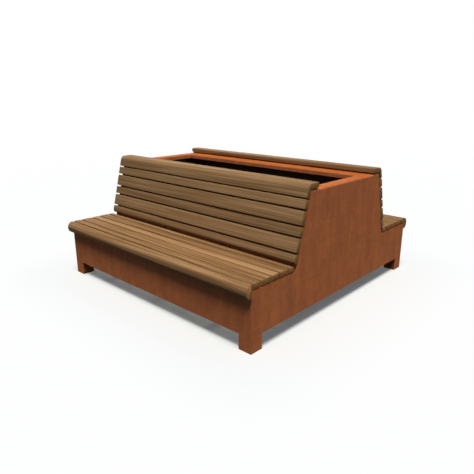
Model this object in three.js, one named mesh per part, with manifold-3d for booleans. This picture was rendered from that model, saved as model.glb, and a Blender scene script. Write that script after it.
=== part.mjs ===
// A square street bench that seats people on two sides, around a long planter.
// Folded weathering steel sheet carries hardwood slats. Two stepped end plates close the planter
// and both benches; an apron stands under each seat; a folded planter wall stands behind each back.
//
// Millimetres. +Z is up, X runs along the seats, the front bench faces -Y. The origin lies on the
// ground in the middle. The front bench is drawn once and turned half round to make the rear one.

import * as THREE from "three";
import { mergeVertices } from "three/addons/utils/BufferGeometryUtils.js";
import Module from "manifold-3d";

const wasm = await Module();
wasm.setup();

// Steel body, over all
const bodyLength = 2000;
const bodyDepth = 2000;

// Sheet metal
const sheet = 5;
const bend = 5;
const outerBend = bend + sheet;

// Air between two pieces that touch
const fit = 0.3;

// How far a cutting solid runs past what it cuts
const overrun = 20;

// Facets along a half of each rounded corner
const bendFacets = 2;
const edgeFacets = 1;
const noseFacets = 4;

// Foot tabs at the corners of the aprons and end plates
const footHeight = 105;
const footWidth = 100;

// A folded angle closes each foot to a box, and a plate in its bottom takes a ground anchor
const footAngleRise = 40;
const footPlateThickness = 8;
const anchorRadius = 7;
const anchorInset = 42;

// Step of the end plates, and the lean of the back away from upright
const seatEdgeHeight = 405;
const slopeDegrees = 14.71;

// Folded rim of the planter: flange turned inward, lip turned down
const endFlange = 91;
const sideFlange = 187;
const lipDepth = 35;

// Hardwood slats
const slatThickness = 35;
const narrowSlat = 60;
const wideSlat = 90;
const innerSlat = 80;
const slatGap = 12;
const slatEdge = 3;
const slatOverhang = 2;
const slatLength = bodyLength + slatOverhang + slatOverhang;

// Nosing and rear slat of the seat, bottom slat and cap of the back
const noseDepth = 46;
const noseHeight = 92;
const noseTopFlat = 6;
const noseBottomFlat = 2;
const rearSlat = 50;
const rearGap = 22;
const backFirst = 48.5;
const bottomSlatFlat = 10;
const capGap = 9;
const capLap = 49.4;
const capReach = 83;
const capRadius = 33;
const capBackRadius = 8;

// Flat bars that carry the slats
const barWidth = 40;
const barThickness = 10;
const backStandoff = 5;
const barLift = 10;
const barTongue = 12;
const innerBarX = 330;

// Seat supports: an angle on each end plate, a tee rib at each inner bar
const angleDrop = 55;
const ribDepth = 80;

// Planter floor, its bearer channels and its drain holes
const floorTop = 150;
const floorUnderside = floorTop - sheet;
const bearerWidth = 60;
const bearerHeight = 35;
const bearerSheet = 4;
const bearerSpacing = 600;
const bearerCount = 3;
const drainRadius = 10;
const drainColumns = 4;
const drainColumnSpacing = 480;
const drainRowSpacing = 700;
const drainRows = 2;
const drainFacets = 12;

// Planting liner and drain spouts
const linerThickness = 3;
const linerDrop = 20;
const spoutX = 300;
const spoutRadius = 25;
const spoutWall = 3;
const spoutFlangeRadius = 45;
const spoutFlangeThickness = 4;
const spoutBottom = 112;
const spoutFacets = 24;

// Worked out from the sizes above: the slats set the depth of the seat and the length of the slope
const halfLength = bodyLength / 2;
const halfDepth = bodyDepth / 2;
const endInside = halfLength - sheet;
const apronInside = halfDepth - sheet;
const seatSlats = [narrowSlat, wideSlat, narrowSlat, innerSlat, rearSlat];
const backSlats = [narrowSlat, wideSlat, narrowSlat, wideSlat, narrowSlat];
const seatDepth = seatSlats.reduce((sum, width) => sum + slatGap + width, rearGap);
const backEnd = backSlats.reduce((sum, width) => sum + width + slatGap, backFirst) - slatGap;
const lipStart = backEnd + capGap;
const slopeAngle = THREE.MathUtils.degToRad(slopeDegrees);
const slopeLength = lipStart + capLap;
const slopeRise = slopeLength * Math.cos(slopeAngle);
const slopeRun = slopeLength * Math.sin(slopeAngle);
const slopeFoot = halfDepth - seatDepth;
const slopeHead = slopeFoot - slopeRun;
const rimHeight = seatEdgeHeight + slopeRise;
const mouthX = halfLength - endFlange;
const mouthHalfDepth = slopeHead - sideFlange;
const capHalfDepth = slopeHead - capReach;
const footReach = footWidth - sheet - fit;
const footPlateSize = footReach - sheet / 2;
const wallOffset = backStandoff - barThickness - fit;
const slatOffset = backStandoff + fit;
const slatFaceOffset = slatOffset + slatThickness;
const seatBarTop = seatEdgeHeight + barThickness;
const seatUnderside = seatBarTop + fit;
const seatTop = seatUnderside + slatThickness;
const rimBarTop = rimHeight + fit + barThickness;
const capUnderside = rimBarTop + fit;
const capTop = capUnderside + slatThickness;
const wallFoot = slopeHalfDepth(seatEdgeHeight, wallOffset);
const wallInside = wallFoot - sheet;
const supportStart = wallFoot + fit;
const supportEnd = apronInside - fit;
const supportMiddle = (supportStart + supportEnd) / 2;
const supportLength = supportEnd - supportStart;
const outerBarX = endInside - fit - barWidth / 2;
const barPlaces = [-outerBarX, -innerBarX, innerBarX, outerBarX];

const steelMaterial = new THREE.MeshStandardMaterial({ color: 0xc06c38, roughness: 0.8, metalness: 0 });
const innerSteelMaterial = new THREE.MeshStandardMaterial({ color: 0x9c5a30, roughness: 0.88, metalness: 0 });
const seatWoodMaterial = new THREE.MeshStandardMaterial({ color: 0x9a6e3e, roughness: 0.6, metalness: 0 });
const backWoodMaterial = new THREE.MeshStandardMaterial({ color: 0x946c40, roughness: 0.6, metalness: 0 });
const linerMaterial = new THREE.MeshStandardMaterial({ color: 0x14110f, roughness: 0.7, metalness: 0 });
const spoutMaterial = new THREE.MeshStandardMaterial({ color: 0x2b2b2b, roughness: 0.6, metalness: 0 });

// Half depth, at a height, of a line that runs beside the slope, offset outward from it
function slopeHalfDepth(height, offset) {
  const along = (height - seatEdgeHeight) / slopeRise;
  return slopeFoot - slopeRun * along + offset / Math.cos(slopeAngle);
}

// A point on the slope as [half depth, height], from its distance up the slope and its offset outward
function slopePoint(distance, offset) {
  const sine = Math.sin(slopeAngle);
  const cosine = Math.cos(slopeAngle);
  return [
    slopeFoot - distance * sine + offset * cosine,
    seatEdgeHeight + distance * cosine + offset * sine,
  ];
}

// A closed outline through corners given as [x, y, radius]; a corner without a radius stays sharp
function outline(corners, path = new THREE.Shape()) {
  const count = corners.length;
  const goTo = (x, y, index) => (index === 0 ? path.moveTo(x, y) : path.lineTo(x, y));
  corners.forEach(([x, y, radius = 0], index) => {
    if (radius === 0) {
      goTo(x, y, index);
      return;
    }
    const corner = new THREE.Vector2(x, y);
    const before = new THREE.Vector2(...corners[(index + count - 1) % count]);
    const after = new THREE.Vector2(...corners[(index + 1) % count]);
    const arriving = corner.clone().sub(before).normalize();
    const leaving = after.clone().sub(corner).normalize();
    const turn = Math.atan2(arriving.cross(leaving), arriving.dot(leaving));
    const side = Math.sign(turn);
    const start = corner.clone().addScaledVector(arriving, -radius * Math.tan(Math.abs(turn) / 2));
    const inward = new THREE.Vector2(-arriving.y * side, arriving.x * side);
    const centre = start.clone().addScaledVector(inward, radius);
    const from = Math.atan2(start.y - centre.y, start.x - centre.x);
    goTo(centre.x + radius * Math.cos(from), centre.y + radius * Math.sin(from), index);
    path.absarc(centre.x, centre.y, radius, from, from + turn, side < 0);
  });
  path.closePath();
  return path;
}

// The section of a folded sheet from the corners of its outer surface, with the metal on the left
function foldedSection(corners, thickness, insideRadius) {
  const points = corners.map(([x, y]) => new THREE.Vector2(x, y));
  const normals = points.slice(1).map((point, index) => {
    const along = point.clone().sub(points[index]).normalize();
    return new THREE.Vector2(-along.y, along.x);
  });
  const last = points.length - 1;
  const outer = points.map((point, index) => {
    const folded = index > 0 && index < last;
    return [point.x, point.y, folded ? insideRadius + thickness : 0];
  });
  const inner = points.map((point, index) => {
    const first = normals[Math.max(index - 1, 0)];
    const second = normals[Math.min(index, last - 1)];
    const reach = thickness / (1 + first.dot(second));
    const folded = index > 0 && index < last;
    return [
      point.x + (first.x + second.x) * reach,
      point.y + (first.y + second.y) * reach,
      folded ? insideRadius : 0,
    ];
  });
  return outline([...outer, ...inner.reverse()]);
}

function extrude(shape, depth, facets) {
  return new THREE.ExtrudeGeometry(shape, { depth, bevelEnabled: false, curveSegments: facets });
}

// Turns a geometry so that its x, y and z axes point along the three given ones
function turned(geometry, xAxis, yAxis, zAxis) {
  const vectors = [xAxis, yAxis, zAxis].map((axis) => new THREE.Vector3(...axis));
  return geometry.applyMatrix4(new THREE.Matrix4().makeBasis(...vectors));
}

// A section drawn as [half depth, height], run along X about the middle
function alongX(shape, length, facets = bendFacets) {
  const geometry = turned(extrude(shape, length, facets), [0, -1, 0], [0, 0, 1], [-1, 0, 0]);
  return geometry.translate(length / 2, 0, 0);
}

// A section drawn as [x, height], run towards -Y from a starting y
function alongY(shape, startY, length, facets = bendFacets) {
  const geometry = turned(extrude(shape, length, facets), [1, 0, 0], [0, 0, 1], [0, -1, 0]);
  return geometry.translate(0, startY, 0);
}

// A plan drawn as [x, y], run upward from a height
function upward(shape, height, thickness, facets = bendFacets) {
  return extrude(shape, thickness, facets).translate(0, 0, height);
}

function toSolid(geometry) {
  const bare = new THREE.BufferGeometry();
  bare.setAttribute("position", geometry.getAttribute("position"));
  bare.setIndex(geometry.index);
  const merged = mergeVertices(bare);
  return new wasm.Manifold(
    new wasm.Mesh({
      numProp: 3,
      vertProperties: new Float32Array(merged.attributes.position.array),
      triVerts: new Uint32Array(merged.index.array),
    }),
  );
}

function toGeometry(solid) {
  const mesh = solid.getMesh();
  const geometry = new THREE.BufferGeometry();
  geometry.setAttribute("position", new THREE.BufferAttribute(mesh.vertProperties, mesh.numProp));
  geometry.setIndex(new THREE.BufferAttribute(mesh.triVerts, 1));
  const facetted = geometry.toNonIndexed();
  facetted.computeVertexNormals();
  return facetted;
}

function cut(geometry, ...tools) {
  return toGeometry(tools.map(toSolid).reduce((whole, tool) => whole.subtract(tool), toSolid(geometry)));
}

function welded(first, second) {
  return toGeometry(toSolid(first).add(toSolid(second)));
}

function common(first, second) {
  return toGeometry(toSolid(first).intersect(toSolid(second)));
}

function mesh(name, geometry, material) {
  const made = new THREE.Mesh(geometry, material);
  made.name = name;
  return made;
}

// The mitre of the rim runs from the corner between wall and end plate to the corner of the mouth.
// It is drawn at the +X, +Y corner, and each side stands back from it by half the fit.
const mitreStart = new THREE.Vector2(endInside, slopeHalfDepth(rimHeight, wallOffset));
const mitreAlong = new THREE.Vector2(mouthX, mouthHalfDepth).sub(mitreStart).normalize();
const mitreToWall = new THREE.Vector2(mitreAlong.y, -mitreAlong.x);

// Where the mitre, moved by a shift towards the wall's side, crosses a given x or a given y
function mitreY(x, shift) {
  return mitreStart.y + (shift - (x - mitreStart.x) * mitreToWall.x) / mitreToWall.y;
}

function mitreX(y, shift) {
  return mitreStart.x + (shift - (y - mitreStart.y) * mitreToWall.y) / mitreToWall.x;
}

// The end plates: stepped outline, with the rim folded over along the top

function endPlateOutline() {
  const half = [
    [halfDepth - footWidth, footHeight],
    [halfDepth - footWidth, 0],
    [halfDepth, 0],
    [halfDepth, seatEdgeHeight],
    [slopeFoot, seatEdgeHeight],
    [slopeHalfDepth(rimHeight + overrun, 0), rimHeight + overrun],
  ];
  const otherHalf = half.map(([depth, height]) => [-depth, height]).reverse();
  return outline([...half, ...otherHalf]);
}

function endPlateGeometry() {
  const folded = foldedSection(
    [
      [halfLength, -overrun],
      [halfLength, rimHeight],
      [mouthX, rimHeight],
      [mouthX, rimHeight - lipDepth],
    ],
    sheet,
    bend,
  );
  const run = alongY(folded, halfDepth + overrun, bodyDepth + overrun + overrun);
  const outlineLength = endFlange + overrun + overrun;
  const profile = alongX(endPlateOutline(), outlineLength).translate(halfLength - endFlange / 2, 0, 0);
  const shift = -fit / 2;
  const far = mouthX - overrun;
  const waste = (sign) => {
    const plan = outline([
      [endInside, sign * mitreY(endInside, shift)],
      [far, sign * mitreY(far, shift)],
      [far, sign * slopeFoot],
      [endInside, sign * slopeFoot],
    ]);
    return upward(plan, rimHeight - lipDepth - overrun, lipDepth + overrun + overrun);
  };
  return cut(common(run, profile), waste(1), waste(-1));
}

// The planter wall: upright below the seat, sloping behind the back, folded over as the long rim

function planterWallGeometry() {
  const section = foldedSection(
    [
      [wallFoot, floorUnderside],
      [wallFoot, seatEdgeHeight],
      [slopeHalfDepth(rimHeight, wallOffset), rimHeight],
      [mouthHalfDepth, rimHeight],
      [mouthHalfDepth, rimHeight - lipDepth],
    ],
    sheet,
    bend,
  );
  const wall = alongX(section, bodyLength - 2 * (sheet + fit));
  const shift = fit / 2;
  const near = mouthHalfDepth - overrun;
  const far = halfLength + overrun;
  const lipReach = mouthHalfDepth + outerBend;
  const flangeWaste = (sign) => {
    const plan = outline([
      [sign * mitreX(near, shift), -near],
      [sign * far, -near],
      [sign * far, -mitreY(far, shift)],
    ]);
    return upward(plan, rimHeight - outerBend, outerBend + overrun);
  };
  const lipWaste = (sign) => {
    const plan = outline([
      [sign * mitreX(near, shift), -near],
      [sign * far, -near],
      [sign * far, -lipReach],
      [sign * mitreX(lipReach, shift), -lipReach],
    ]);
    return upward(plan, rimHeight - lipDepth - overrun, lipDepth + overrun + overrun);
  };
  return cut(wall, flangeWaste(1), flangeWaste(-1), lipWaste(1), lipWaste(-1));
}

// The apron: a plate under the front edge of the seat, with a foot tab at each end

function apronGeometry() {
  const half = [
    [halfLength - footWidth, footHeight],
    [halfLength - footWidth, 0],
    [endInside - fit, 0],
    [endInside - fit, seatEdgeHeight],
  ];
  const otherHalf = half.map(([x, height]) => [-x, height]).reverse();
  return alongY(outline([...half, ...otherHalf]), -apronInside, sheet);
}

// The box of a foot, an angle with a plate welded into its bottom, lies in the corner of two foot
// tabs. It is drawn for the front right corner, with that corner at the origin.
function footBoxGeometry() {
  const angle = foldedSection(
    [
      [0, footReach],
      [-footReach, footReach],
      [-footReach, 0],
    ],
    sheet,
    bend,
  );
  const plate = outline([
    [0, 0],
    [0, footPlateSize],
    [-footPlateSize, footPlateSize, bend + sheet / 2],
    [-footPlateSize, 0],
  ]);
  const hole = new THREE.Path();
  hole.absarc(-anchorInset, anchorInset, anchorRadius, 0, 2 * Math.PI);
  plate.holes.push(hole);
  return welded(
    upward(angle, 0, footHeight + footAngleRise),
    upward(plate, 0, footPlateThickness, drainFacets / 2),
  );
}

// Planter floor, bearers, liner and spouts

// The bores that let the spouts through floor and liner
function spoutBores() {
  const radius = spoutRadius + fit;
  const bore = new THREE.CylinderGeometry(radius, radius, 2 * overrun, spoutFacets);
  bore.rotateX(Math.PI / 2);
  return [-spoutX, spoutX].map((x) => bore.clone().translate(x, 0, floorTop));
}

function planterFloorGeometry() {
  const halfX = endInside - fit;
  const halfY = wallInside - fit;
  const plan = outline([
    [halfX, -halfY],
    [halfX, halfY],
    [-halfX, halfY],
    [-halfX, -halfY],
  ]);
  for (let column = 0; column < drainColumns; column++) {
    for (let row = 0; row < drainRows; row++) {
      const x = (column - (drainColumns - 1) / 2) * drainColumnSpacing;
      const y = (row - (drainRows - 1) / 2) * drainRowSpacing;
      const hole = new THREE.Path();
      hole.absarc(x, y, drainRadius, 0, 2 * Math.PI);
      plan.holes.push(hole);
    }
  }
  return cut(upward(plan, floorUnderside, sheet, drainFacets / 2), ...spoutBores());
}

function bearerGeometry() {
  const half = bearerWidth / 2;
  const top = floorUnderside - fit;
  const section = foldedSection(
    [
      [half, top - bearerHeight],
      [half, top],
      [-half, top],
      [-half, top - bearerHeight],
    ],
    bearerSheet,
    bearerSheet,
  );
  return alongY(section, apronInside - fit, 2 * (apronInside - fit));
}

function linerGeometry() {
  const inset = wallOffset - sheet - fit;
  const top = rimHeight - linerDrop;
  const underside = floorTop + fit;
  const tub = (offset, bottom, height) => {
    const half = [
      [slopeHalfDepth(seatEdgeHeight, inset - offset), bottom],
      [slopeHalfDepth(seatEdgeHeight, inset - offset), seatEdgeHeight],
      [slopeHalfDepth(height, inset - offset), height],
    ];
    return outline([...half, ...half.map(([depth, level]) => [-depth, level]).reverse()]);
  };
  const outside = alongX(tub(0, underside, top), 2 * (endInside - fit));
  const inside = alongX(
    tub(linerThickness, underside + linerThickness, top + overrun),
    2 * (endInside - fit - linerThickness),
  );
  return cut(outside, inside, ...spoutBores());
}

function spoutGeometry() {
  const flangeBottom = floorTop + fit + linerThickness + fit;
  const flangeTop = flangeBottom + spoutFlangeThickness;
  const bore = spoutRadius - spoutWall;
  const profile = [
    [bore, spoutBottom],
    [spoutRadius, spoutBottom],
    [spoutRadius, flangeBottom],
    [spoutFlangeRadius, flangeBottom],
    [spoutFlangeRadius, flangeTop],
    [bore, flangeTop],
    [bore, spoutBottom],
  ].map(([radius, height]) => new THREE.Vector2(radius, height));
  return new THREE.LatheGeometry(profile, spoutFacets).rotateX(Math.PI / 2);
}

// Seat supports run from wall to apron and are drawn about their own middle

// The support's top bar as a section drawn as [x, height]
function supportBar() {
  return [
    [barWidth / 2, seatBarTop],
    [-barWidth / 2, seatBarTop],
    [-barWidth / 2, seatEdgeHeight],
  ];
}

// An angle for the +X end: its upright leg lies on the end plate, its top leg carries the slats
function endAngleGeometry() {
  const section = outline([
    [barWidth / 2, seatEdgeHeight - angleDrop],
    ...supportBar(),
    [barWidth / 2 - sheet, seatEdgeHeight, bend],
    [barWidth / 2 - sheet, seatEdgeHeight - angleDrop],
  ]);
  return alongY(section, supportLength / 2, supportLength);
}

// A rib on edge under a flat bar
function teeRibGeometry() {
  const section = outline([
    [sheet / 2, seatEdgeHeight - ribDepth],
    [sheet / 2, seatEdgeHeight, bend],
    [barWidth / 2, seatEdgeHeight],
    ...supportBar(),
    [-sheet / 2, seatEdgeHeight, bend],
    [-sheet / 2, seatEdgeHeight - ribDepth],
  ]);
  return alongY(section, supportLength / 2, supportLength);
}

// A back bar stands on the wall and hooks over the rim
function backBarGeometry() {
  const bottom = seatBarTop + barLift;
  const section = foldedSection(
    [
      [slopeHalfDepth(bottom, backStandoff), bottom],
      [slopeHalfDepth(rimBarTop, backStandoff), rimBarTop],
      [capHalfDepth + barTongue, rimBarTop],
    ],
    barThickness,
    0,
  );
  return alongX(section, barWidth);
}

// Slats and boards

// A flat slat lying level: its width runs in depth
function seatSlatGeometry(width) {
  const half = width / 2;
  const section = outline([
    [half, -slatThickness / 2, slatEdge],
    [half, slatThickness / 2, slatEdge],
    [-half, slatThickness / 2, slatEdge],
    [-half, -slatThickness / 2, slatEdge],
  ]);
  return alongX(section, slatLength, edgeFacets);
}

// A slat for the back, standing on edge: its thickness runs in depth, and its outer lower edge
// may be rounded to a bullnose
function backSlatGeometry(width, lowerRadius = slatEdge) {
  const half = slatThickness / 2;
  const section = outline([
    [half, -width / 2, lowerRadius],
    [half, width / 2, slatEdge],
    [-half, width / 2, slatEdge],
    [-half, -width / 2, slatEdge],
  ]);
  return alongX(section, slatLength, lowerRadius > slatEdge ? noseFacets : edgeFacets);
}

// The nosing stands against the apron and rolls over the front of the seat
function nosingGeometry() {
  const back = halfDepth + fit;
  const section = outline([
    [back, seatTop - noseHeight],
    [back + noseDepth, seatTop - noseHeight, noseDepth - noseBottomFlat],
    [back + noseDepth, seatTop, noseDepth - noseTopFlat],
    [back, seatTop],
  ]);
  return alongX(section, slatLength, noseFacets);
}

// The cap laps over the rim: a level board with a lip that continues the slope of the back
function capGeometry() {
  const section = outline([
    [...slopePoint(lipStart, slatOffset), slatEdge],
    [...slopePoint(lipStart, slatFaceOffset), slatEdge],
    [slopeHalfDepth(capTop, slatFaceOffset), capTop, capRadius],
    [capHalfDepth, capTop, capBackRadius],
    [capHalfDepth, capUnderside, slatEdge],
    [slopeHalfDepth(capUnderside, slatOffset), capUnderside],
  ]);
  return alongX(section, slatLength, noseFacets);
}

// One bench, facing -Y: apron, wall, supports, bars, seat and back
function bench(side) {
  const group = new THREE.Group();
  group.add(mesh(`apron_${side}`, apronGeometry(), steelMaterial));
  group.add(mesh(`planter_wall_${side}`, planterWallGeometry(), steelMaterial));

  const angle = endAngleGeometry();
  const rib = teeRibGeometry();
  const bar = backBarGeometry();
  barPlaces.forEach((x, index) => {
    const geometry = Math.abs(x) === outerBarX ? angle : rib;
    const support = mesh(`seat_support_${side}_${index + 1}`, geometry, innerSteelMaterial);
    support.position.set(x, -supportMiddle, 0);
    support.rotation.z = x < 0 ? Math.PI : 0;
    const backBar = mesh(`back_bar_${side}_${index + 1}`, bar, innerSteelMaterial);
    backBar.position.x = x;
    group.add(support, backBar);
  });

  group.add(mesh(`seat_nosing_${side}`, nosingGeometry(), seatWoodMaterial));
  let depth = halfDepth;
  seatSlats.forEach((width, index) => {
    depth -= slatGap + width;
    const slat = mesh(`seat_slat_${side}_${index + 1}`, seatSlatGeometry(width), seatWoodMaterial);
    slat.position.set(0, -(depth + width / 2), seatUnderside + slatThickness / 2);
    group.add(slat);
  });

  const slope = new THREE.Group();
  slope.position.set(0, -slopeFoot, seatEdgeHeight);
  slope.rotation.x = -slopeAngle;
  let distance = backFirst;
  backSlats.forEach((width, index) => {
    const radius = index === 0 ? slatThickness - bottomSlatFlat : slatEdge;
    const slat = mesh(`back_slat_${side}_${index + 1}`, backSlatGeometry(width, radius), backWoodMaterial);
    slat.position.set(0, -(slatOffset + slatThickness / 2), distance + width / 2);
    slope.add(slat);
    distance += width + slatGap;
  });
  group.add(slope, mesh(`back_cap_${side}`, capGeometry(), backWoodMaterial));
  return group;
}

const benchWithPlanter = new THREE.Group();

const endPlate = endPlateGeometry();
const rightEnd = mesh("end_plate_right", endPlate, steelMaterial);
const leftEnd = mesh("end_plate_left", endPlate, steelMaterial);
leftEnd.rotation.z = Math.PI;
benchWithPlanter.add(rightEnd, leftEnd);

["front", "rear"].forEach((side) => {
  const made = bench(side);
  made.rotation.z = side === "rear" ? Math.PI : 0;
  benchWithPlanter.add(made);
});

const footBox = footBoxGeometry();
[
  ["front_right", 1, -1],
  ["rear_right", 1, 1],
  ["rear_left", -1, 1],
  ["front_left", -1, -1],
].forEach(([corner, signX, signY], quarter) => {
  const foot = mesh(`foot_plate_${corner}`, footBox, innerSteelMaterial);
  foot.position.set(signX * (endInside - fit), signY * (apronInside - fit), 0);
  foot.rotation.z = (quarter * Math.PI) / 2;
  benchWithPlanter.add(foot);
});

benchWithPlanter.add(mesh("planter_floor", planterFloorGeometry(), innerSteelMaterial));
const bearer = bearerGeometry();
for (let index = 0; index < bearerCount; index++) {
  const channel = mesh(`floor_bearer_${index + 1}`, bearer, innerSteelMaterial);
  channel.position.x = (index - (bearerCount - 1) / 2) * bearerSpacing;
  benchWithPlanter.add(channel);
}
benchWithPlanter.add(mesh("planter_liner", linerGeometry(), linerMaterial));
const spout = spoutGeometry();
[
  ["left", -spoutX],
  ["right", spoutX],
].forEach(([end, x]) => {
  const pipe = mesh(`drain_spout_${end}`, spout, spoutMaterial);
  pipe.position.x = x;
  benchWithPlanter.add(pipe);
});

export default benchWithPlanter;
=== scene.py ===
"""Looks of the bench with planter: weathering steel, oiled hardwood, fixings, floor, light, camera.

Metres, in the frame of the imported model: +Z up, X along the seats, the front bench faces -Y.
"""
import math

import bmesh
import bpy
from mathutils import Matrix, Vector


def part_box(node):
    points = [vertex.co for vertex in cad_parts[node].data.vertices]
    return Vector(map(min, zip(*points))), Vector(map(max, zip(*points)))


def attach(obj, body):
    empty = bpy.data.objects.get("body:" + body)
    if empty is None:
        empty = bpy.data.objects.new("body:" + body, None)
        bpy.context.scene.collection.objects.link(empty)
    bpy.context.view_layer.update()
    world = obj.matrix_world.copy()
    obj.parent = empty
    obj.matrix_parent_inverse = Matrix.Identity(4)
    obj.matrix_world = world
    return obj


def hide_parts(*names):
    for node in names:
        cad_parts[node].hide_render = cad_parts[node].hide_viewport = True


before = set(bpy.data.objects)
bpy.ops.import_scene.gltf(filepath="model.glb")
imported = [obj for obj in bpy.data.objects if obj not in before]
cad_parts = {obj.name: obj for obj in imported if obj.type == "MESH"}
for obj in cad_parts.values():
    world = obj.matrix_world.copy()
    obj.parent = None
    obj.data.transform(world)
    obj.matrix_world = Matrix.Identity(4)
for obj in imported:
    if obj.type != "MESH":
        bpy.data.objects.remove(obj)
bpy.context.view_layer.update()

scene = bpy.context.scene
collection = scene.collection

# The two benches, and which way along Y each one looks
OUTWARD = {"front": -1, "rear": 1}

# Camera, solved from the photograph's perspective
CAMERA_PLACE = (2.593, -2.836, 1.477)
CAMERA_YAW = math.radians(42.892)
CAMERA_PITCH = math.radians(17.091)
CAMERA_LENS = 35.412
CAMERA_SENSOR = 36.0

# Boards: sizes as in the part
BOARD_THICKNESS = 0.035
NARROW = 0.060
WIDE = 0.090
SEAT_WIDTHS = (NARROW, WIDE, NARROW, 0.080, 0.050)
BACK_WIDTHS = (NARROW, WIDE, NARROW, WIDE, NARROW)
LEAN = math.radians(14.71)
SLOPE_FOOT = 0.578
SEAT_EDGE = 0.405
BOARD_OFFSET = 0.0053
BACK_START = 0.0485
CAP_LIP = 0.4655

# Finish of the boards: eased edges and ends, the turns that count as corners, and rounding steps
EASED_EDGE = 0.003
EASED_END = 0.002
EASED_END_ANGLE = math.radians(50)
EASED_END_STEPS = 2
CRISP_ANGLE = math.radians(40)
EDGE_STEPS = 4
NOSE_STEPS = 24
MERGE_DISTANCE = 1e-6

# Radii of the moulded boards' corners, the large ones matched to the photograph's shading
NOSING_FOOT_RADIUS = 0.0015
NOSING_LOWER_RADIUS = 0.042
NOSING_UPPER_RADIUS = 0.045
REAR_SEAT_RADIUS = 0.021
BOTTOM_BOARD_RADIUS = 0.025
CAP_UPPER_RADIUS = 0.042
CAP_INNER_RADIUS = 0.008

# Tone of each board, 0 dark to 1 light: nosing, seat from the front, back from below, cap
NOSING_TONE = 0.62
# The front seat's fourth board is set darker and its fifth greyer: painted shade from the back
# above them
SEAT_TONES_AND_SHADE = {"front": (0.49, 0.55, 0.79, 0.31, 0.60),
              "rear": (0.40, 0.22, 0.46, 0.30, 0.24)}
BACK_TONES = (0.47, 0.60, 0.31, 0.55, 0.62)
CAP_TONE = 0.48

# How far the rust's patterns change its lightness: blotches, mottle, runs, grain
RUST_SHARES = (0.42, 0.62, 0.42, 0.90)

# Rust and oiled wood shine little: specular levels, and how far each way the roughness varies
STEEL_SPECULAR = 0.09
WOOD_SPECULAR = 0.08
RUST_ROUGHNESS_SPREAD = 0.08
PLAIN_ROUGHNESS_SPREAD = 0.1

# Wood: how far its tone moves a board through the pattern, its lightness, and its roughness
WOOD_SHIFT = (17.3, 5.7, 9.1)
WOOD_LIGHTNESS = (0.72, 1.28)
WOOD_ROUGHNESS = (0.9, 0.76)

# Floor: what the camera sees, its own light, what it sends up to the bench, and its fade to white
FLOOR_WHITE = "#ECEBE5"
FLOOR_OWN_LIGHT = "#5F5D58"
FLOOR_BOUNCE = "#323334"
HALF_FOOTPRINT = (1.0, 1.0, 0.0)
FLOOR_FADE = (0.08, 0.75)
FLOOR_FADE_SHARE = 0.8
FLOOR_HORIZON = (1.0, 14.0)
FLOOR_REACH = 60.0

# Light: the room's, and each sun's azimuth, elevation and spread in degrees and its strength
ROOM_LIGHT = 0.22
ROOM_TINT = "#A8CEFF"
SUNS = (("overhead", 38.0, 72.0, 22.0, 2.95),
        ("fill_right", 90.0, 20.0, 17.0, 0.33),
        ("fill_behind", 222.0, 10.0, 17.0, 0.75))

# Fixings: hexagon head screws with washers, under the seat and inside the aprons
SCREW_SIZES = {"Width across corners": 0.0115, "Head height": 0.0045,
               "Washer diameter": 0.014, "Washer thickness": 0.0015}
HEAD_SIDES = 6
WASHER_SIDES = 24
END_BAR_X = 0.9747
INNER_BAR_X = 0.330
BESIDE_RIB = 0.0132
NOSING_SCREW_X = (-0.85, -0.51, -0.17, 0.17, 0.51, 0.85)
NOSING_SCREW_Z = 0.386
APRON_INSIDE = 0.995


def linear(code):
    """A colour written as sRGB hex, as the linear RGBA that the nodes take."""
    parts = [int(code[i:i + 2], 16) / 255 for i in (1, 3, 5)]
    return [c / 12.92 if c <= 0.04045 else ((c + 0.055) / 1.055) ** 2.4 for c in parts] + [1.0]


def add_node(tree, kind, settings=None, inputs=None):
    """Adds a node, sets its properties, and sets or links its inputs by name or number."""
    made = tree.nodes.new(kind)
    for name, value in (settings or {}).items():
        setattr(made, name, value)
    for name, value in (inputs or {}).items():
        if isinstance(value, bpy.types.NodeSocket):
            tree.links.new(value, made.inputs[name])
        else:
            made.inputs[name].default_value = value
    return made


def new_material(name):
    """A new material, and its node tree, emptied to be filled."""
    material = bpy.data.materials.new(name)
    material.use_nodes = True
    tree = material.node_tree
    tree.nodes.clear()
    return material, tree


# Materials

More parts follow.
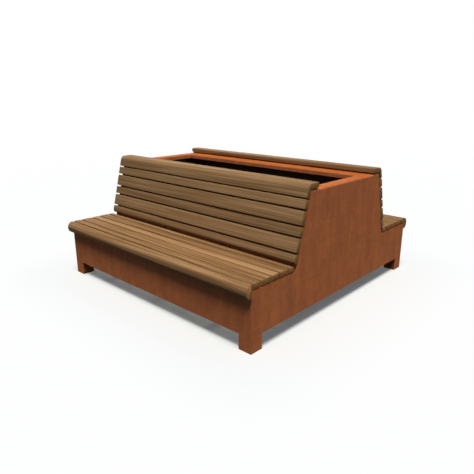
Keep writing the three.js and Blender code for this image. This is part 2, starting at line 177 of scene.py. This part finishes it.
def weathering_steel(name, base, dark, light, upward_shade, roughness):
    """Hot rolled weathering steel sheet, left to rust: a matt, velvety orange brown skin, blotched
    by the rain, with short runs down the upright faces and a fine sandy grain. Faces that look
    up get a darker, clearer orange: painted shade against the light and sheen they catch."""
    material, tree = new_material(name)
    place = add_node(tree, "ShaderNodeTexCoord").outputs["Object"]
    # Blotches 80 to 250 mm across, and a mottle of 15 to 50 mm on them
    blotches = add_node(tree, "ShaderNodeTexNoise", None, {
        "Vector": place, "Scale": 7.0, "Detail": 5.0, "Roughness": 0.6, "Distortion": 0.2})
    mottle = add_node(tree, "ShaderNodeTexNoise", None, {
        "Vector": place, "Scale": 34.0, "Detail": 5.0, "Roughness": 0.72})
    # Runs 50 to 100 mm wide and 250 to 500 mm long that fall down the sheet
    stretched = add_node(tree, "ShaderNodeMapping", None, {
        "Vector": place, "Scale": (15.0, 15.0, 2.8)})
    runs = add_node(tree, "ShaderNodeTexNoise", None, {
        "Vector": stretched.outputs["Vector"], "Scale": 1.0, "Detail": 2.0, "Roughness": 0.5})
    # Grain of the rust, drawn at 4 mm where the real one is under 1 mm, so that it shows
    grain = add_node(tree, "ShaderNodeTexNoise", None, {
        "Vector": place, "Scale": 240.0, "Detail": 3.0, "Roughness": 0.6})
    blotch_tone = add_node(tree, "ShaderNodeMapRange", None, {
        "Value": blotches.outputs[0], "From Min": 0.36, "From Max": 0.64})
    low = add_node(tree, "ShaderNodeMix", {"data_type": "RGBA"}, {
        0: blotch_tone.outputs[0], 6: linear(dark), 7: linear(base)})
    run_tone = add_node(tree, "ShaderNodeMapRange", None, {
        "Value": runs.outputs[0], "From Min": 0.38, "From Max": 0.66, "To Max": 0.5})
    high = add_node(tree, "ShaderNodeMix", {"data_type": "RGBA"}, {
        0: run_tone.outputs[0], 6: low.outputs[2], 7: linear(light)})
    # Faces that look up get a darker, clearer orange: painted shade against the light and sheen
    # they catch
    normal = add_node(tree, "ShaderNodeSeparateXYZ", None, {
        0: add_node(tree, "ShaderNodeNewGeometry").outputs["Normal"]})
    faces_up = add_node(tree, "ShaderNodeMapRange", None, {
        "Value": normal.outputs[2], "From Min": 0.5, "From Max": 0.9})
    high = add_node(tree, "ShaderNodeMix", {"data_type": "RGBA"}, {
        0: faces_up.outputs[0], 6: high.outputs[2], 7: linear(upward_shade)})
    # Each pattern makes the skin lighter and darker by its share
    level = 1.0 - sum(RUST_SHARES) / 2
    for pattern, share in zip((blotches, mottle, runs, grain), RUST_SHARES):
        level = add_node(tree, "ShaderNodeMath", {"operation": "MULTIPLY_ADD"}, {
            0: pattern.outputs[0], 1: share, 2: level}).outputs[0]
    skin = add_node(tree, "ShaderNodeVectorMath", {"operation": "SCALE"}, {
        0: high.outputs[2], "Scale": level})
    rough = add_node(tree, "ShaderNodeMapRange", None, {
        "Value": blotches.outputs[0], "From Min": 0.3, "From Max": 0.7,
        "To Min": roughness - RUST_ROUGHNESS_SPREAD, "To Max": roughness + RUST_ROUGHNESS_SPREAD})
    bump = add_node(tree, "ShaderNodeBump", None, {
        "Height": grain.outputs[0], "Strength": 0.25, "Distance": 0.0006})
    shader = add_node(tree, "ShaderNodeBsdfPrincipled", None, {
        "Base Color": skin.outputs[0], "Roughness": rough.outputs[0], "Normal": bump.outputs[0]})
    shader.inputs["Specular IOR Level"].default_value = STEEL_SPECULAR
    add_node(tree, "ShaderNodeOutputMaterial", None, {"Surface": shader.outputs[0]})
    return material


def oiled_hardwood(name, base, dark, light, end):
    """Planed and oiled tropical hardwood outdoors: straight grain along the board, each board with
    its own tone, open pores that catch the light a little, and sawn ends of one plain colour."""
    material, tree = new_material(name)
    place = add_node(tree, "ShaderNodeTexCoord").outputs["Object"]
    tone = add_node(tree, "ShaderNodeAttribute", {"attribute_name": "board_tone"}).outputs["Fac"]
    # Boards of different tones are cut from different places of the pattern
    shift = add_node(tree, "ShaderNodeVectorMath", {"operation": "SCALE"}, {
        0: WOOD_SHIFT, "Scale": tone})
    own = add_node(tree, "ShaderNodeVectorMath", {"operation": "ADD"}, {
        0: place, 1: shift.outputs[0]})
    # Bands of the growth rings, 15 to 30 mm apart across a flat sawn face
    ring_space = add_node(tree, "ShaderNodeMapping", None, {
        "Vector": own.outputs[0], "Scale": (0.45, 40.0, 40.0)})
    rings = add_node(tree, "ShaderNodeTexNoise", None, {
        "Vector": ring_space.outputs[0], "Scale": 1.0, "Detail": 3.0, "Roughness": 0.6,
        "Distortion": 0.25})
    # Streaks of grain, 6 to 12 mm wide
    streak_space = add_node(tree, "ShaderNodeMapping", None, {
        "Vector": own.outputs[0], "Scale": (1.2, 120.0, 120.0)})
    streaks = add_node(tree, "ShaderNodeTexNoise", None, {
        "Vector": streak_space.outputs[0], "Scale": 1.0, "Detail": 4.0, "Roughness": 0.65})
    # Pores, drawn 1 mm wide and 20 mm long
    pore_space = add_node(tree, "ShaderNodeMapping", None, {
        "Vector": own.outputs[0], "Scale": (45.0, 900.0, 900.0)})
    pores = add_node(tree, "ShaderNodeTexNoise", None, {
        "Vector": pore_space.outputs[0], "Scale": 1.0, "Detail": 2.0, "Roughness": 0.5})
    ring_tone = add_node(tree, "ShaderNodeMapRange", None, {
        "Value": rings.outputs[0], "From Min": 0.38, "From Max": 0.62})
    low = add_node(tree, "ShaderNodeMix", {"data_type": "RGBA"}, {
        0: ring_tone.outputs[0], 6: linear(dark), 7: linear(base)})
    streak_tone = add_node(tree, "ShaderNodeMapRange", None, {
        "Value": streaks.outputs[0], "From Min": 0.44, "From Max": 0.62, "To Max": 0.8})
    high = add_node(tree, "ShaderNodeMix", {"data_type": "RGBA"}, {
        0: streak_tone.outputs[0], 6: low.outputs[2], 7: linear(light)})
    # Each board is lighter or darker by its tone, and a pale one is nearer to the light colour too
    paler = add_node(tree, "ShaderNodeMapRange", None, {
        "Value": tone, "From Min": 0.5, "To Max": 0.55})
    high = add_node(tree, "ShaderNodeMix", {"data_type": "RGBA"}, {
        0: paler.outputs[0], 6: high.outputs[2], 7: linear(light)})
    board_light = add_node(tree, "ShaderNodeMapRange", None, {
        "Value": tone, "To Min": WOOD_LIGHTNESS[0], "To Max": WOOD_LIGHTNESS[1]})
    face = add_node(tree, "ShaderNodeVectorMath", {"operation": "SCALE"}, {
        0: high.outputs[2], "Scale": board_light.outputs[0]})
    # The sawn ends face along X
    normal = add_node(tree, "ShaderNodeSeparateXYZ", None, {
        0: add_node(tree, "ShaderNodeNewGeometry").outputs["Normal"]})
    across = add_node(tree, "ShaderNodeMath", {"operation": "ABSOLUTE"}, {0: normal.outputs[0]})
    at_end = add_node(tree, "ShaderNodeMapRange", None, {
        "Value": across.outputs[0], "From Min": 0.6, "From Max": 0.9})
    skin = add_node(tree, "ShaderNodeMix", {"data_type": "RGBA"}, {
        0: at_end.outputs[0], 6: face.outputs[0], 7: linear(end)})
    rough = add_node(tree, "ShaderNodeMapRange", None, {
        "Value": streaks.outputs[0], "From Min": 0.3, "From Max": 0.7,
        "To Min": WOOD_ROUGHNESS[0], "To Max": WOOD_ROUGHNESS[1]})
    bump = add_node(tree, "ShaderNodeBump", None, {
        "Height": pores.outputs[0], "Strength": 0.2, "Distance": 0.0004})
    shader = add_node(tree, "ShaderNodeBsdfPrincipled", None, {
        "Base Color": skin.outputs[2], "Roughness": rough.outputs[0], "Normal": bump.outputs[0]})
    shader.inputs["Specular IOR Level"].default_value = WOOD_SPECULAR
    add_node(tree, "ShaderNodeOutputMaterial", None, {"Surface": shader.outputs[0]})
    return material


def plain_surface(name, base, worn, roughness, metallic, scale):
    """A plain manufactured surface: one colour, faintly worn in patches, their scale per metre."""
    material, tree = new_material(name)
    place = add_node(tree, "ShaderNodeTexCoord").outputs["Object"]
    wear = add_node(tree, "ShaderNodeTexNoise", None, {
        "Vector": place, "Scale": scale, "Detail": 4.0})
    colour = add_node(tree, "ShaderNodeMix", {"data_type": "RGBA"}, {
        0: wear.outputs[0], 6: linear(base), 7: linear(worn)})
    rough = add_node(tree, "ShaderNodeMapRange", None, {
        "Value": wear.outputs[0], "To Min": roughness - PLAIN_ROUGHNESS_SPREAD,
        "To Max": roughness + PLAIN_ROUGHNESS_SPREAD})
    shader = add_node(tree, "ShaderNodeBsdfPrincipled", None, {
        "Base Color": colour.outputs[2], "Roughness": rough.outputs[0]})
    shader.inputs["Metallic"].default_value = metallic
    add_node(tree, "ShaderNodeOutputMaterial", None, {"Surface": shader.outputs[0]})
    return material


# The plates outside, rained on, in their own colour
STEEL = weathering_steel("weathering_steel_rolled", base="#CA7544", dark="#C47145",
                         light="#CE7742", upward_shade="#C06628", roughness=0.8)
# The same sheet painted darker and browner for the parts that lie in shade: painted shade
STEEL_PAINTED_SHADE = weathering_steel("weathering_steel_painted_shade", base="#A25E34", dark="#965736",
                                light="#AC6638", upward_shade="#A65C2C", roughness=0.8)
# The seat's boards have the stronger grain, the back's are greyer
SEAT_WOOD = oiled_hardwood("hardwood_oiled_seat", base="#93693E", dark="#6D4822",
                           light="#BA8F62", end="#A57544")
BACK_WOOD = oiled_hardwood("hardwood_oiled_back", base="#967047", dark="#7E5A34",
                           light="#B08B60", end="#987040")
# Welded polyethylene sheet: matt black with a brown cast
LINER = plain_surface("polyethylene_liner_black", base="#3A2A1E", worn="#443224",
                      roughness=0.75, metallic=0.0, scale=9.0)
# Moulded polypropylene: plain dark grey with a dull shine
DRAIN = plain_surface("polypropylene_drain_grey", base="#242424", worn="#303030",
                      roughness=0.55, metallic=0.0, scale=30.0)
# Turned stainless steel: light grey metal with a soft shine
STAINLESS = plain_surface("stainless_steel_turned", base="#B9B7B2", worn="#A9A7A2",
                          roughness=0.35, metallic=1.0, scale=200.0)


# Boards

def geometry_tree(name, sockets):
    """An empty Geometry Nodes tree with named inputs, its group input and its group output."""
    tree = bpy.data.node_groups.new(name, "GeometryNodeTree")
    tree.interface.new_socket("Geometry", in_out="INPUT", socket_type="NodeSocketGeometry")
    for label, kind in sockets:
        tree.interface.new_socket(label, in_out="INPUT", socket_type=kind)
    tree.interface.new_socket("Geometry", in_out="OUTPUT", socket_type="NodeSocketGeometry")
    return tree, tree.nodes.new("NodeGroupInput").outputs, tree.nodes.new("NodeGroupOutput").inputs


def slat_tree():
    """A flat slat: a rectangle with eased corners, swept along X, leaned and put in its place."""
    tree, given, result = geometry_tree("flat_slat", (
        ("Length", "NodeSocketFloat"), ("Width", "NodeSocketFloat"),
        ("Thickness", "NodeSocketFloat"), ("Edge radius", "NodeSocketFloat"),
        ("Lean", "NodeSocketRotation"), ("Place", "NodeSocketVector"),
        ("Tone", "NodeSocketFloat"), ("Material", "NodeSocketMaterial")))
    section = add_node(tree, "GeometryNodeCurvePrimitiveQuadrilateral", None, {
        "Width": given["Width"], "Height": given["Thickness"]})
    eased = add_node(tree, "GeometryNodeFilletCurve", {"mode": "POLY"}, {
        "Curve": section.outputs[0], "Count": EDGE_STEPS, "Radius": given["Edge radius"]})
    half = add_node(tree, "ShaderNodeMath", {"operation": "MULTIPLY"}, {
        0: given["Length"], 1: 0.5})
    minus_half = add_node(tree, "ShaderNodeMath", {"operation": "MULTIPLY"}, {
        0: given["Length"], 1: -0.5})
    start = add_node(tree, "ShaderNodeCombineXYZ", None, {"X": minus_half.outputs[0]})
    end = add_node(tree, "ShaderNodeCombineXYZ", None, {"X": half.outputs[0]})
    path = add_node(tree, "GeometryNodeCurvePrimitiveLine", None, {
        "Start": start.outputs[0], "End": end.outputs[0]})
    swept = add_node(tree, "GeometryNodeCurveToMesh", None, {
        "Curve": path.outputs[0], "Profile Curve": eased.outputs[0], "Fill Caps": True})
    leaned = add_node(tree, "GeometryNodeTransform", None, {
        "Geometry": swept.outputs[0], "Translation": given["Place"], "Rotation": given["Lean"]})
    toned = add_node(tree, "GeometryNodeStoreNamedAttribute", {
        "data_type": "FLOAT", "domain": "POINT"}, {
        "Geometry": leaned.outputs[0], "Name": "board_tone", "Value": given["Tone"]})
    real = add_node(tree, "GeometryNodeRealizeInstances", None, {"Geometry": toned.outputs[0]})
    painted = add_node(tree, "GeometryNodeSetMaterial", None, {
        "Geometry": real.outputs[0], "Material": given["Material"]})
    tree.links.new(painted.outputs[0], result["Geometry"])
    return tree


def grown(tree, name, values, points=()):
    """The plain mesh that a tree makes from its named inputs and, if it needs them, some points."""
    mesh = bpy.data.meshes.new(name + "_points")
    mesh.from_pydata(points, [], [])
    carrier = bpy.data.objects.new(name + "_carrier", mesh)
    collection.objects.link(carrier)
    modifier = carrier.modifiers.new("grow", "NODES")
    modifier.node_group = tree
    for item in tree.interface.items_tree:
        if item.in_out == "INPUT" and item.name in values:
            modifier[item.identifier] = values[item.name]
    evaluated = carrier.evaluated_get(bpy.context.evaluated_depsgraph_get())
    made = bpy.data.meshes.new_from_object(evaluated)
    bpy.data.objects.remove(carrier)
    return made


def finished(name, mesh, eased):
    """An object for a mesh: smooth, and with its ends eased if it is a board."""
    made = bpy.data.objects.new(name, mesh)
    collection.objects.link(made)
    if eased:
        bevel = made.modifiers.new("eased_ends", "BEVEL")
        bevel.width = EASED_END
        bevel.segments = EASED_END_STEPS
        bevel.limit_method = "ANGLE"
        bevel.angle_limit = EASED_END_ANGLE
        plain = bpy.data.meshes.new_from_object(
            made.evaluated_get(bpy.context.evaluated_depsgraph_get()))
        made.modifiers.clear()
        made.data = plain
    made.data.shade_smooth()
    return made


def sharpen(mesh, angle):
    """Keeps the corners of a smooth mesh crisp where its faces turn by more than an angle."""
    shape = bmesh.new()
    shape.from_mesh(mesh)
    for edge in shape.edges:
        edge.smooth = edge.is_manifold and edge.calc_face_angle(0.0) < angle
    shape.to_mesh(mesh)
    shape.free()


def rounded(corners, steps):
    """A closed outline of (outward, up, radius) corners with its corners rounded."""
    outline = []
    count = len(corners)
    for i, (across, up, radius) in enumerate(corners):
        corner = Vector((across, up))
        if radius == 0:
            outline.append(corner)
            continue
        before = (Vector(corners[i - 1][:2]) - corner).normalized()
        after = (Vector(corners[(i + 1) % count][:2]) - corner).normalized()
        half = before.angle(after) / 2
        inner = corner + (before + after).normalized() * radius / math.sin(half)
        first = corner + before * radius / math.tan(half) - inner
        last = corner + after * radius / math.tan(half) - inner
        turn = first.angle_signed(last)
        for step in range(steps + 1):
            angle = -turn * step / steps
            outline.append(inner + Matrix.Rotation(angle, 2) @ first)
    return outline


def moulded_board(name, node, corners, side, tone, material):
    """A board of any section, swept along X between the node's two ends."""
    low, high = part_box(node)
    section = rounded(corners, NOSE_STEPS)
    shape = bmesh.new()
    ends = [[shape.verts.new((x, OUTWARD[side] * p.x, p.y)) for p in section]
            for x in (low.x, high.x)]
    count = len(section)
    for i in range(count):
        j = (i + 1) % count
        shape.faces.new((ends[0][i], ends[0][j], ends[1][j], ends[1][i]))
    for end in ends:
        shape.faces.new(end)
    bmesh.ops.remove_doubles(shape, verts=shape.verts, dist=MERGE_DISTANCE)
    bmesh.ops.recalc_face_normals(shape, faces=shape.faces)
    mesh = bpy.data.meshes.new(name)
    shape.to_mesh(mesh)
    shape.free()
    mesh.attributes.new("board_tone", "FLOAT", "POINT").data.foreach_set(
        "value", [tone] * len(mesh.vertices))
    mesh.materials.append(material)
    dress_board(name, node, mesh)


def dress_board(name, node, mesh):
    """Finishes a board's mesh and lets it stand for its CAD node."""
    made = finished(name, mesh, True)
    sharpen(made.data, CRISP_ANGLE)
    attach(made, "root")
    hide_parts(node)


def flat_slat(name, node, width, lean, tone, material):
    """A flat slat in the middle of its CAD node's box."""
    low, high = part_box(node)
    mesh = grown(SLAT_TREE, name, {
        "Length": high.x - low.x, "Width": width, "Thickness": BOARD_THICKNESS,
        "Edge radius": EASED_EDGE, "Lean": (lean, 0.0, 0.0), "Place": (low + high) / 2,
        "Tone": tone, "Material": material})
    dress_board(name, node, mesh)


def slope_point(distance, offset):
    """A point (outward, up) beside the back's slope, as slope distance and offset outwards."""
    return (SLOPE_FOOT - distance * math.sin(LEAN) + offset * math.cos(LEAN),
            SEAT_EDGE + distance * math.cos(LEAN) + offset * math.sin(LEAN))


def nosing_corners(node):
    """The front board of the seat: almost half round, standing against the apron."""
    low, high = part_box(node)
    inner, outer = sorted((abs(low.y), abs(high.y)))
    return [(inner, low.z, NOSING_FOOT_RADIUS), (outer, low.z, NOSING_LOWER_RADIUS),
            (outer, high.z, NOSING_UPPER_RADIUS), (inner, high.z, EASED_EDGE)]


def rear_seat_corners(node):
    """The last board of the seat, its rear upper edge rounded over."""
    low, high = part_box(node)
    inner, outer = sorted((abs(low.y), abs(high.y)))
    return [(inner, low.z, EASED_EDGE), (outer, low.z, EASED_EDGE),
            (outer, high.z, EASED_EDGE), (inner, high.z, REAR_SEAT_RADIUS)]


def cap_corners(node):
    """The board over the rim: a lip down the slope of the back and a level top, in one piece."""
    low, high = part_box(node)
    inner = min(abs(low.y), abs(high.y))
    under = high.z - BOARD_THICKNESS
    face = BOARD_OFFSET + BOARD_THICKNESS
    top_along = (high.z - SEAT_EDGE - face * math.sin(LEAN)) / math.cos(LEAN)
    under_along = (under - SEAT_EDGE - BOARD_OFFSET * math.sin(LEAN)) / math.cos(LEAN)
    return [(*slope_point(CAP_LIP, BOARD_OFFSET), EASED_EDGE),
            (*slope_point(CAP_LIP, face), EASED_EDGE),
            (*slope_point(top_along, face), CAP_UPPER_RADIUS),
            (inner, high.z, CAP_INNER_RADIUS),
            (inner, under, EASED_EDGE),
            (*slope_point(under_along, BOARD_OFFSET), 0.0)]


def bottom_corners():
    """The lowest board of the back, its lower front edge rounded over."""
    face = BOARD_OFFSET + BOARD_THICKNESS
    above = BACK_START + NARROW
    return [(*slope_point(BACK_START, BOARD_OFFSET), EASED_EDGE),
            (*slope_point(BACK_START, face), BOTTOM_BOARD_RADIUS),
            (*slope_point(above, face), EASED_EDGE),
            (*slope_point(above, BOARD_OFFSET), EASED_EDGE)]


def screw_tree():
    """Hexagon head screws with a washer, one at each given point, all turned one way."""
    tree, given, result = geometry_tree("hexagon_screws", (
        ("Width across corners", "NodeSocketFloat"), ("Head height", "NodeSocketFloat"),
        ("Washer diameter", "NodeSocketFloat"), ("Washer thickness", "NodeSocketFloat"),
        ("Turn", "NodeSocketRotation"), ("Material", "NodeSocketMaterial")))
    parts = []
    for across, height, sides in (("Width across corners", "Head height", HEAD_SIDES),
                                  ("Washer diameter", "Washer thickness", WASHER_SIDES)):
        radius = add_node(tree, "ShaderNodeMath", {"operation": "MULTIPLY"}, {
            0: given[across], 1: 0.5})
        disc = add_node(tree, "GeometryNodeMeshCylinder", {"fill_type": "NGON"}, {
            "Vertices": sides, "Radius": radius.outputs[0], "Depth": given[height]})
        # The washer lies on the seat, and the head starts half way through it
        lift = add_node(tree, "ShaderNodeMath", {"operation": "MULTIPLY_ADD"}, {
            0: given[height], 1: 0.5, 2: 0.0})
        if sides == HEAD_SIDES:
            half_washer = add_node(tree, "ShaderNodeMath", {"operation": "MULTIPLY"}, {
                0: given["Washer thickness"], 1: 0.5})
            tree.links.new(half_washer.outputs[0], lift.inputs[2])
        up = add_node(tree, "ShaderNodeCombineXYZ", None, {"Z": lift.outputs[0]})
        parts.append(add_node(tree, "GeometryNodeTransform", None, {
            "Geometry": disc.outputs[0], "Translation": up.outputs[0]}))
    screw = add_node(tree, "GeometryNodeJoinGeometry")
    for part in parts:
        tree.links.new(part.outputs[0], screw.inputs[0])
    placed = add_node(tree, "GeometryNodeInstanceOnPoints", None, {
        "Points": given["Geometry"], "Instance": screw.outputs[0], "Rotation": given["Turn"]})
    real = add_node(tree, "GeometryNodeRealizeInstances", None, {"Geometry": placed.outputs[0]})
    painted = add_node(tree, "GeometryNodeSetMaterial", None, {
        "Geometry": real.outputs[0], "Material": given["Material"]})
    tree.links.new(painted.outputs[0], result["Geometry"])
    return tree


def seat_screw_places(side):
    """Points under the seat's bars, one or two to a board: two where the board is wide."""
    places = []
    for number, width in enumerate(SEAT_WIDTHS, 1):
        low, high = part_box(f"seat_slat_{side}_{number}")
        middle = (low.y + high.y) / 2
        spread = width / 4 if width > NARROW else 0.0
        for y in sorted({middle - spread, middle + spread}):
            for x in (-END_BAR_X, -INNER_BAR_X - BESIDE_RIB, INNER_BAR_X + BESIDE_RIB, END_BAR_X):
                places.append((x, y, SEAT_EDGE))
    return places


def nosing_screw_places(side):
    """Points on the apron's inner face, behind the nosing."""
    return [(x, OUTWARD[side] * APRON_INSIDE, NOSING_SCREW_Z) for x in NOSING_SCREW_X]


def screws(name, places, turn):
    """A row of screws as one piece."""
    values = dict(SCREW_SIZES)
    values.update({"Turn": turn, "Material": STAINLESS})
    made = finished(name, grown(SCREW_TREE, name, values, places), False)
    made.data.shade_flat()
    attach(made, "root")


SLAT_TREE = slat_tree()
SCREW_TREE = screw_tree()

for side, outward in OUTWARD.items():
    nosing = f"seat_nosing_{side}"
    moulded_board(f"board_nosing_{side}", nosing, nosing_corners(nosing), side, NOSING_TONE,
                  SEAT_WOOD)
    for number, (width, tone) in enumerate(zip(SEAT_WIDTHS, SEAT_TONES_AND_SHADE[side]), 1):
        board, slat = f"board_seat_{side}_{number}", f"seat_slat_{side}_{number}"
        if number < len(SEAT_WIDTHS):
            flat_slat(board, slat, width, 0.0, tone, SEAT_WOOD)
        else:
            moulded_board(board, slat, rear_seat_corners(slat), side, tone, SEAT_WOOD)
    bottom = f"back_slat_{side}_1"
    moulded_board(f"board_back_{side}_1", bottom, bottom_corners(), side, BACK_TONES[0],
                  BACK_WOOD)
    for number, (width, tone) in enumerate(zip(BACK_WIDTHS, BACK_TONES), 1):
        if number > 1:
            flat_slat(f"board_back_{side}_{number}", f"back_slat_{side}_{number}", width,
                      -outward * (math.pi / 2 - LEAN), tone, BACK_WOOD)
    cap = f"back_cap_{side}"
    moulded_board(f"board_cap_{side}", cap, cap_corners(cap), side, CAP_TONE, BACK_WOOD)
    screws(f"screws_seat_{side}", seat_screw_places(side), (math.pi, 0.0, 0.0))
    screws(f"screws_nosing_{side}", nosing_screw_places(side), (outward * math.pi / 2, 0.0, 0.0))

# What the CAD nodes are made of, by the start of their names; the others get the steel with painted
# shade
NODE_MATERIALS = ((("end_plate", "apron", "planter_wall"), STEEL),
                  ("planter_liner", LINER),
                  ("drain_spout", DRAIN),
                  (("seat_nosing", "seat_slat"), SEAT_WOOD),
                  (("back_slat", "back_cap"), BACK_WOOD))
for node_name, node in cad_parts.items():
    fitting = [material for start, material in NODE_MATERIALS if node_name.startswith(start)]
    node.data.materials.clear()
    node.data.materials.append(fitting[0] if fitting else STEEL_PAINTED_SHADE)


# Floor, light and camera

def seen_rays(tree):
    """1 for what the camera sees, straight, mirrored or through glass, and 0 for other light."""
    path = add_node(tree, "ShaderNodeLightPath").outputs
    seen = path["Is Camera Ray"]
    for kind in ("Is Glossy Ray", "Is Transmission Ray"):
        seen = add_node(tree, "ShaderNodeMath", {"operation": "MAXIMUM"}, {
            0: seen, 1: path[kind]}).outputs[0]
    return seen


def studio_floor():
    """A seamless white studio floor. The camera sees it white, a little lit of itself, so that
    its shadows stay pale, and it runs out into the white room. It sends little light up."""
    material, tree = new_material("studio_floor_white")
    seen = seen_rays(tree)
    colour = add_node(tree, "ShaderNodeMix", {"data_type": "RGBA"}, {
        0: seen, 6: linear(FLOOR_BOUNCE), 7: linear(FLOOR_WHITE)})
    lit = add_node(tree, "ShaderNodeBsdfDiffuse", None, {"Color": colour.outputs[2]})
    own = add_node(tree, "ShaderNodeEmission", None, {
        "Color": linear(FLOOR_OWN_LIGHT), "Strength": seen})
    near = add_node(tree, "ShaderNodeAddShader", None, {0: lit.outputs[0], 1: own.outputs[0]})
    far = add_node(tree, "ShaderNodeEmission", None, {"Strength": seen})
    # It fades with distance from the square under the bench: soon almost white, at last quite white
    place = add_node(tree, "ShaderNodeVectorMath", {"operation": "ABSOLUTE"}, {
        0: add_node(tree, "ShaderNodeTexCoord").outputs["Object"]})
    beside = add_node(tree, "ShaderNodeVectorMath", {"operation": "SUBTRACT"}, {
        0: place.outputs[0], 1: HALF_FOOTPRINT})
    outside = add_node(tree, "ShaderNodeVectorMath", {"operation": "MAXIMUM"}, {
        0: beside.outputs[0], 1: (0.0, 0.0, 0.0)})
    distance = add_node(tree, "ShaderNodeVectorMath", {"operation": "LENGTH"}, {
        0: outside.outputs[0]}).outputs["Value"]
    run_out = add_node(tree, "ShaderNodeMapRange", {"interpolation_type": "SMOOTHSTEP"}, {
        "Value": distance, "From Min": FLOOR_FADE[0], "From Max": FLOOR_FADE[1],
        "To Max": FLOOR_FADE_SHARE})
    horizon = add_node(tree, "ShaderNodeMapRange", None, {
        "Value": distance, "From Min": FLOOR_HORIZON[0], "From Max": FLOOR_HORIZON[1],
        "To Max": 1.0 - FLOOR_FADE_SHARE})
    share = add_node(tree, "ShaderNodeMath", {"operation": "ADD"}, {
        0: run_out.outputs[0], 1: horizon.outputs[0]})
    shader = add_node(tree, "ShaderNodeMixShader", None, {
        0: share.outputs[0], 1: near.outputs[0], 2: far.outputs[0]})
    add_node(tree, "ShaderNodeOutputMaterial", None, {"Surface": shader.outputs[0]})
    mesh = bpy.data.meshes.new("studio_floor")
    mesh.from_pydata([(-FLOOR_REACH, -FLOOR_REACH, 0), (FLOOR_REACH, -FLOOR_REACH, 0),
                      (FLOOR_REACH, FLOOR_REACH, 0), (-FLOOR_REACH, FLOOR_REACH, 0)],
                     [], [(0, 1, 2, 3)])
    mesh.materials.append(material)
    floor = bpy.data.objects.new("studio_floor", mesh)
    collection.objects.link(floor)
    return floor


def studio_world():
    """A dim even room, a little blue, that the camera sees as white."""
    world = bpy.data.worlds.new("studio_room")
    world.use_nodes = True
    tree = world.node_tree
    tree.nodes.clear()
    seen = seen_rays(tree)
    level = add_node(tree, "ShaderNodeMapRange", None, {
        "Value": seen, "To Min": ROOM_LIGHT, "To Max": 1.0})
    colour = add_node(tree, "ShaderNodeMix", {"data_type": "RGBA"}, {
        0: seen, 6: linear(ROOM_TINT), 7: linear("#FFFFFF")})
    shader = add_node(tree, "ShaderNodeBackground", None, {
        "Color": colour.outputs[2], "Strength": level.outputs[0]})
    add_node(tree, "ShaderNodeOutputWorld", None, {"Surface": shader.outputs[0]})
    scene.world = world


def soft_sun(name, azimuth, elevation, spread, strength):
    """A wide, even white light from one side of the sky. Azimuth 0 comes from -Y, 90 from +X."""
    lamp = bpy.data.lights.new(name, "SUN")
    lamp.angle = math.radians(spread)
    lamp.energy = strength
    holder = bpy.data.objects.new(name, lamp)
    collection.objects.link(holder)
    a, e = math.radians(azimuth), math.radians(elevation)
    towards = Vector((math.sin(a) * math.cos(e), -math.cos(a) * math.cos(e), math.sin(e)))
    holder.rotation_euler = towards.to_track_quat("Z", "Y").to_euler()
    return holder


def leave_out(light, thing):
    """Keeps a light off one object."""
    left_out = bpy.data.collections.new(light.name + "_leaves_out")
    left_out.objects.link(thing)
    left_out.collection_objects[0].light_linking.link_state = "EXCLUDE"
    light.light_linking.receiver_collection = left_out


def photograph_camera():
    """The photograph's camera: height, turn, tilt and lens solved from the bench's own edges."""
    camera = bpy.data.cameras.new("camera")
    camera.lens = CAMERA_LENS
    camera.sensor_width = CAMERA_SENSOR
    holder = bpy.data.objects.new("camera", camera)
    holder.location = CAMERA_PLACE
    forward = Vector((-math.sin(CAMERA_YAW) * math.cos(CAMERA_PITCH),
                      math.cos(CAMERA_YAW) * math.cos(CAMERA_PITCH),
                      -math.sin(CAMERA_PITCH)))
    holder.rotation_euler = forward.to_track_quat("-Z", "Y").to_euler()
    collection.objects.link(holder)
    scene.camera = holder


floor = studio_floor()
studio_world()
suns = [soft_sun(*sun) for sun in SUNS]
# Only the first, overhead sun lights the floor and draws a shadow there
for fill in suns[1:]:
    leave_out(fill, floor)
photograph_camera()
scene.view_settings.view_transform = "Standard"
